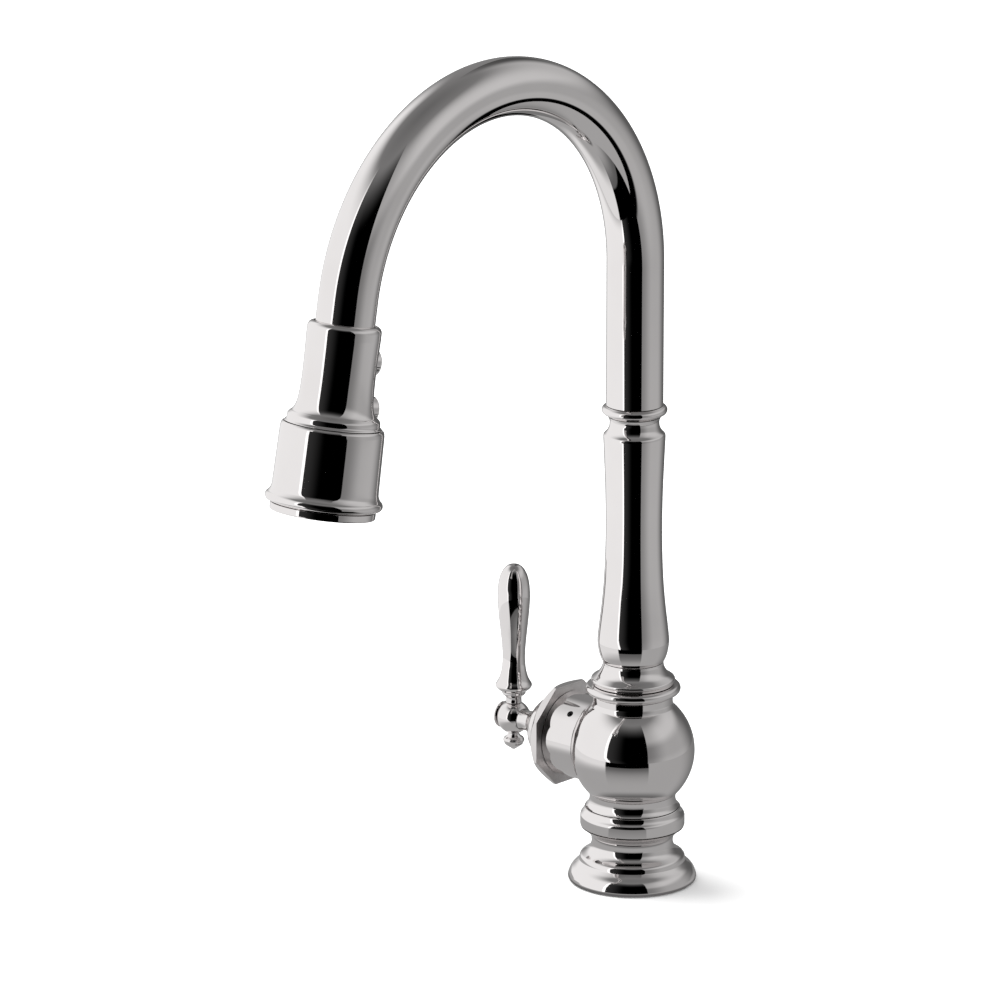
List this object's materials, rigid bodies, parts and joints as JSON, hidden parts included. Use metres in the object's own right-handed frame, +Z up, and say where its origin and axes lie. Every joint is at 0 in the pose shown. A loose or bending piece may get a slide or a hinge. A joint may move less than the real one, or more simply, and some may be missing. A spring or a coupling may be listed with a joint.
{
  "type": "pull-down kitchen faucet",
  "caption": "Pull-down kitchen faucet: turned column with ball-shaped valve body, side lever on an octagonal bonnet, swivelling gooseneck and a two-button pull-off spray head.",
  "frame": {"origin": "centre of the foot's underside, on the deck, on the column's axis", "axes": "+Z up along the column, -Y towards the spout's outlet, -X towards the lever"},
  "size_m": [0.1222, 0.2838, 0.4907],
  "materials": {
    "polished_nickel": "polished",
    "brass": "machined",
    "steel": "plain",
    "rubber": "matt",
    "white_plastic": "moulded",
    "dark_plastic": "moulded",
    "ceramic": "lapped ceramic",
    "magnet": "sintered",
    "hose": "braided nylon"
  },
  "bodies": {
    "base": {"foot_gasket": "rubber", "foot": "polished_nickel", "band_ring": "polished_nickel", "valve_body": "polished_nickel", "body_collar": "polished_nickel", "shank": "brass", "clamp_gasket": "rubber", "clamp_washer": "steel", "mounting_nut": "brass", "clamp_screw_front": "steel", "clamp_screw_rear": "steel", "swivel_post": "brass", "glide_washer": "white_plastic", "retaining_clip": "steel", "cartridge_seal": "rubber", "cartridge_housing": "white_plastic", "fixed_disc": "ceramic", "cartridge_nut": "brass", "bonnet_nut": "polished_nickel", "set_screw": "steel"},
    "spout": {"spout_collar": "polished_nickel", "column": "polished_nickel", "column_bead": "polished_nickel", "spout_spigot": "brass", "gooseneck": "polished_nickel", "lower_bush": "white_plastic", "upper_bush": "white_plastic", "dock_bush": "dark_plastic", "dock_magnet": "magnet", "spray_hose": "hose", "hose_tail": "hose"},
    "turret": {"turret": "dark_plastic", "pivot_pin": "steel"},
    "lever": {"handle_dome": "polished_nickel", "handle_ball": "polished_nickel", "lever_grip": "polished_nickel", "finial": "polished_nickel", "hub_cap": "polished_nickel", "hub_screw": "steel", "lever_stem": "steel"},
    "mixer": {"moving_disc": "ceramic", "disc_carrier": "dark_plastic"},
    "hose_end": {"hose_ferrule": "steel", "swivel_nut": "brass"},
    "spray_head": {"head_shell": "polished_nickel", "head_bell": "polished_nickel", "face_ring": "polished_nickel", "spray_face": "dark_plastic", "nozzle_mat": "rubber", "aerator": "white_plastic", "dock_plate": "steel", "spray_core": "dark_plastic", "check_valve": "white_plastic"},
    "stream_button": {"stream_button": "polished_nickel"},
    "spray_button": {"spray_button": "polished_nickel"},
    "diverter": {"diverter": "white_plastic"}
  },
  "joints": [
    {"name": "spout_swivel", "type": "hinge", "parent": "base", "child": "spout", "pos_m": [0, 0, 0.11], "axis": [0, 0, 1], "continuous": true},
    {"name": "temperature_turn", "type": "hinge", "parent": "base", "child": "turret", "pos_m": [-0.03, 0, 0.068], "axis": [1, 0, 0], "range_deg": [-45, 45]},
    {"name": "flow_lift", "type": "hinge", "parent": "turret", "child": "lever", "pos_m": [-0.045, 0, 0.068], "axis": [0, -1, 0], "range_deg": [0, 18]},
    {"name": "disc_slide", "type": "slide", "parent": "turret", "child": "mixer", "axis": [0, 0, 1], "range_m": [0, 0.006]},
    {"name": "spray_pull", "type": "slide", "parent": "spout", "child": "hose_end", "axis": [0, -0.1822, -0.9833], "range_m": [0, 0.2], "stiffness_N_per_m": 6, "springref_m": -1.2, "deforming": ["hose_tail"]},
    {"name": "head_swivel", "type": "hinge", "parent": "hose_end", "child": "spray_head", "pos_m": [0, -0.20626, 0.33975], "axis": [0, -0.1822, -0.9833], "continuous": true},
    {"name": "stream_press", "type": "slide", "parent": "spray_head", "child": "stream_button", "axis": [-0.2924, -0.9403, 0.1743], "range_m": [0, 0.0015], "stiffness_N_per_m": 1500, "springref_m": -0.001},
    {"name": "spray_press", "type": "slide", "parent": "spray_head", "child": "spray_button", "axis": [-0.2924, -0.9403, 0.1743], "range_m": [0, 0.0015], "stiffness_N_per_m": 1500, "springref_m": -0.001},
    {"name": "diverter_slide", "type": "slide", "parent": "spray_head", "child": "diverter", "axis": [0, -0.1822, -0.9833], "range_m": [0, 0.003]}
  ],
  "couplings": [
    {"joint": "disc_slide", "follows": "flow_lift", "m_per_rad": 0.0189},
    {"joint": "diverter_slide", "follows": "spray_press", "ratio": 2}
  ]
}
